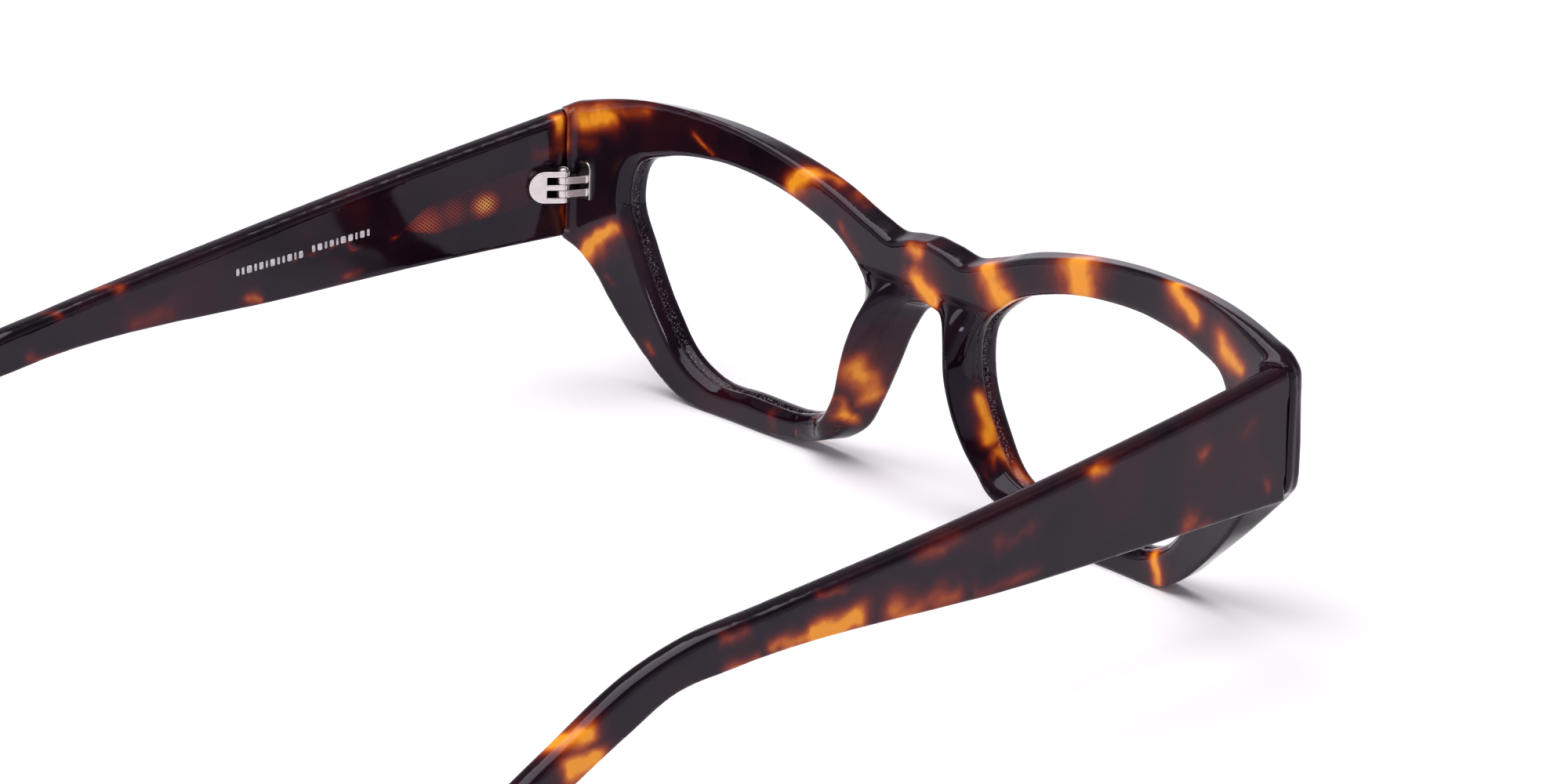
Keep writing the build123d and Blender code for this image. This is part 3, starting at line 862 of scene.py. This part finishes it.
def make_pad(side, way):
    low, high = side_box((1, -5.2, -0.6), (26, 6.4, 33.0), way)
    pad = skin(
        "pad_" + side, mirrored(pad_piece, way), low, high, 0.2, to_world,
        keep=lambda x, y, z: bare_front(x, y, z) > 0.002,
    )
    finish_piece(pad, "nose_pad_" + side, "front", pad_acetate)
    paint_amber(pad)


def make_temple(side, way):
    low, high = side_box((70, -0.5, -1.0), (80.6, 142.4, 41.0), way)
    temple = skin(
        "temple_shell_" + side, mirrored(temple_field, way), low, high, 0.38,
        lambda x, y, z: (x, y + BACK_Y, z),
    )
    finish_piece(temple, "temple_" + side, "temple_" + side, temple_acetate)
    paint_amber(temple)


def make_hinge(side, way):
    temple_body = "temple_" + side
    low, high = side_box((68.6, 2.2, 25.6), (74.2, 12.4, 31.9), way)
    for name, field, node, body, step, metal, slot in (
        ("fingers_", finger_field, "hinge_front_", "front", 0.07, nickel, "hinge_metal"),
        ("leaf_", leaf_field, "hinge_temple_", temple_body, 0.08, nickel, "hinge_metal"),
        ("screw_", screw_field, "hinge_screw_", temple_body, 0.045, screw_steel, "screw_metal"),
    ):
        metal_piece = skin(name + side, mirrored(field, way), low, high, step, to_world)
        finish_piece(metal_piece, node + side, body, metal)


def dress_wire(side):
    """The core wire keeps its CAD shape and takes the knurled steel."""
    wire = bpy.data.objects["core_wire_" + side]
    for material_slot in wire.material_slots:
        material_slot.material = core_steel


for side, way in (("left", 1), ("right", -1)):
    make_pad(side, way)
    make_temple(side, way)
    make_hinge(side, way)
    dress_wire(side)

BAR_GAP = 0.5                                      # in the same measure as the bars' widths
BAR_POINTS = 20
BAR_RINGS = ((0.0, -0.06), (0.0, 0.02), (0.05, 0.035))   # inset, and lift off the face


def squared(value):
    """A circle's sine or cosine drawn out towards a rounded rectangle."""
    return np.sign(value) * abs(value) ** 0.4


def add_bar(corners, faces, near, far, middle_z, height):
    """One bar between near and far along the temple, added to corners and faces."""
    first = len(corners)
    for inset, lift in BAR_RINGS:
        for k in range(BAR_POINTS):
            a = 2 * np.pi * (k + 0.5) / BAR_POINTS
            cy = 0.5 * (near + far) + (0.5 * (far - near) - inset) * squared(cos(a))
            cz = middle_z + (0.5 * height - inset) * squared(sin(a))
            corners.append((inner_face_x(cy, -lift), cy + BACK_Y, cz))
    for ring in (0, 1):
        start = first + ring * BAR_POINTS
        for k in range(BAR_POINTS):
            a, b = start + k, start + (k + 1) % BAR_POINTS
            faces.append((a, a + BAR_POINTS, b + BAR_POINTS, b))
    faces.append(tuple(first + 2 * BAR_POINTS + k for k in range(BAR_POINTS))[::-1])


def print_row(name, y_start, y_end, z_start, z_end, height, widths):
    """Thin raised bars along the left temple's inner face, in place of its printing."""
    corners, faces = [], []
    scale = (y_end - y_start) / (sum(widths) + BAR_GAP * (len(widths) - 1))
    y = y_start
    for width in widths:
        near, far = y, y + width * scale
        along = (0.5 * (near + far) - y_start) / (y_end - y_start)
        add_bar(corners, faces, near, far, z_start + (z_end - z_start) * along, height)
        y = far + BAR_GAP * scale
    mesh = bpy.data.meshes.new(name)
    mesh.from_pydata([tuple(MM * v for v in c) for c in corners], [], faces)
    mesh.materials.append(print_paint)
    piece = bpy.data.objects.new(name, mesh)
    bpy.context.scene.collection.objects.link(piece)
    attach(piece, "temple_left")


print_row(
    "print_bars_front", 37.4, 47.4, 27.5, 27.0, 1.0,
    (0.5, 0.9, 0.4, 0.9, 1.0, 0.4, 0.8, 0.5, 0.9, 0.6),
)
print_row(
    "print_bars_rear", 49.0, 60.6, 26.6, 26.2, 1.05,
    (0.8, 0.4, 0.9, 0.5, 0.5, 0.9, 0.4, 0.8, 0.5, 1.0, 0.5, 0.6),
)


# ---- floor, light and camera --------------------------------------------------------------
def aim(thing, place, target):
    thing.location = place
    thing.rotation_euler = (Vector(target) - Vector(place)).to_track_quat("-Z", "Y").to_euler()


def soft_light(name, place, target, width, depth, power, colour):
    light = bpy.data.lights.new(name, "AREA")
    light.shape, light.size, light.size_y = "RECTANGLE", width, depth
    light.energy, light.color = power, colour
    lamp = bpy.data.objects.new(name, light)
    bpy.context.scene.collection.objects.link(lamp)
    aim(lamp, place, target)


def pale_floor():
    mesh = bpy.data.meshes.new("floor")
    far = 6.0
    corners = [(-far, -far, 0), (far, -far, 0), (far, far, 0), (-far, far, 0)]
    mesh.from_pydata(corners, [], [(0, 1, 2, 3)])
    n = Nodes("pale paper")
    pale = n.ramp(n.noise(8.0), ((0.3, (0.89, 0.87, 0.9)), (0.7, (0.91, 0.89, 0.92))))
    n.set(n.shader.inputs["Base Color"], pale)
    n.shader.inputs["Roughness"].default_value = 0.9
    mesh.materials.append(n.material)
    floor = bpy.data.objects.new("floor", mesh)
    bpy.context.scene.collection.objects.link(floor)


def studio_sky():
    """A sky that is bright low down and overhead, and darker in a band between them."""
    world = bpy.data.worlds.new("studio")
    world.use_nodes = True
    tree = world.node_tree
    direction = tree.nodes.new("ShaderNodeTexCoord").outputs["Generated"]
    split = tree.nodes.new("ShaderNodeSeparateXYZ")
    sky = tree.nodes.new("ShaderNodeValToRGB")
    background = tree.nodes["Background"]
    tree.links.new(direction, split.inputs[0])
    tree.links.new(split.outputs["Z"], sky.inputs[0])
    tree.links.new(sky.outputs[0], background.inputs["Color"])
    while len(sky.color_ramp.elements) < len(SKY):
        sky.color_ramp.elements.new(0.5)
    for element, (height, level) in zip(sky.color_ramp.elements, SKY):
        element.position = height
        element.color = (*(level * tint for tint in SKY_TINT), 1)
    background.inputs["Strength"].default_value = 1.0
    bpy.context.scene.world = world


def photo_camera():
    lens = bpy.data.cameras.new("camera")
    lens.sensor_width, lens.lens = 36.0, 197.1
    lens.clip_start, lens.clip_end = 0.05, 30.0
    camera = bpy.data.objects.new("camera", lens)
    bpy.context.scene.collection.objects.link(camera)
    aim(camera, (-0.84969, 0.66961, 0.39999), (0, -0.04358, 0.02027))
    bpy.context.scene.camera = camera


SKY = ((0.0, 0.8), (0.3, 0.8), (0.5, 0.22), (0.82, 0.22), (0.93, 0.8))   # height, brightness
SKY_TINT = (0.9, 0.87, 0.96)
pale_floor()
soft_light("overhead", (0.3, 0.3, 1.5), (0.3, 0.3, 0), 2.2, 1.9, 38, (1.0, 1.0, 0.97))
soft_light("strip", (-0.7, 1.6, 0.75), (0, 0, 0.02), 0.35, 0.3, 3, (0.97, 0.97, 1.0))
studio_sky()
photo_camera()
bpy.context.scene.view_settings.view_transform = "Standard"
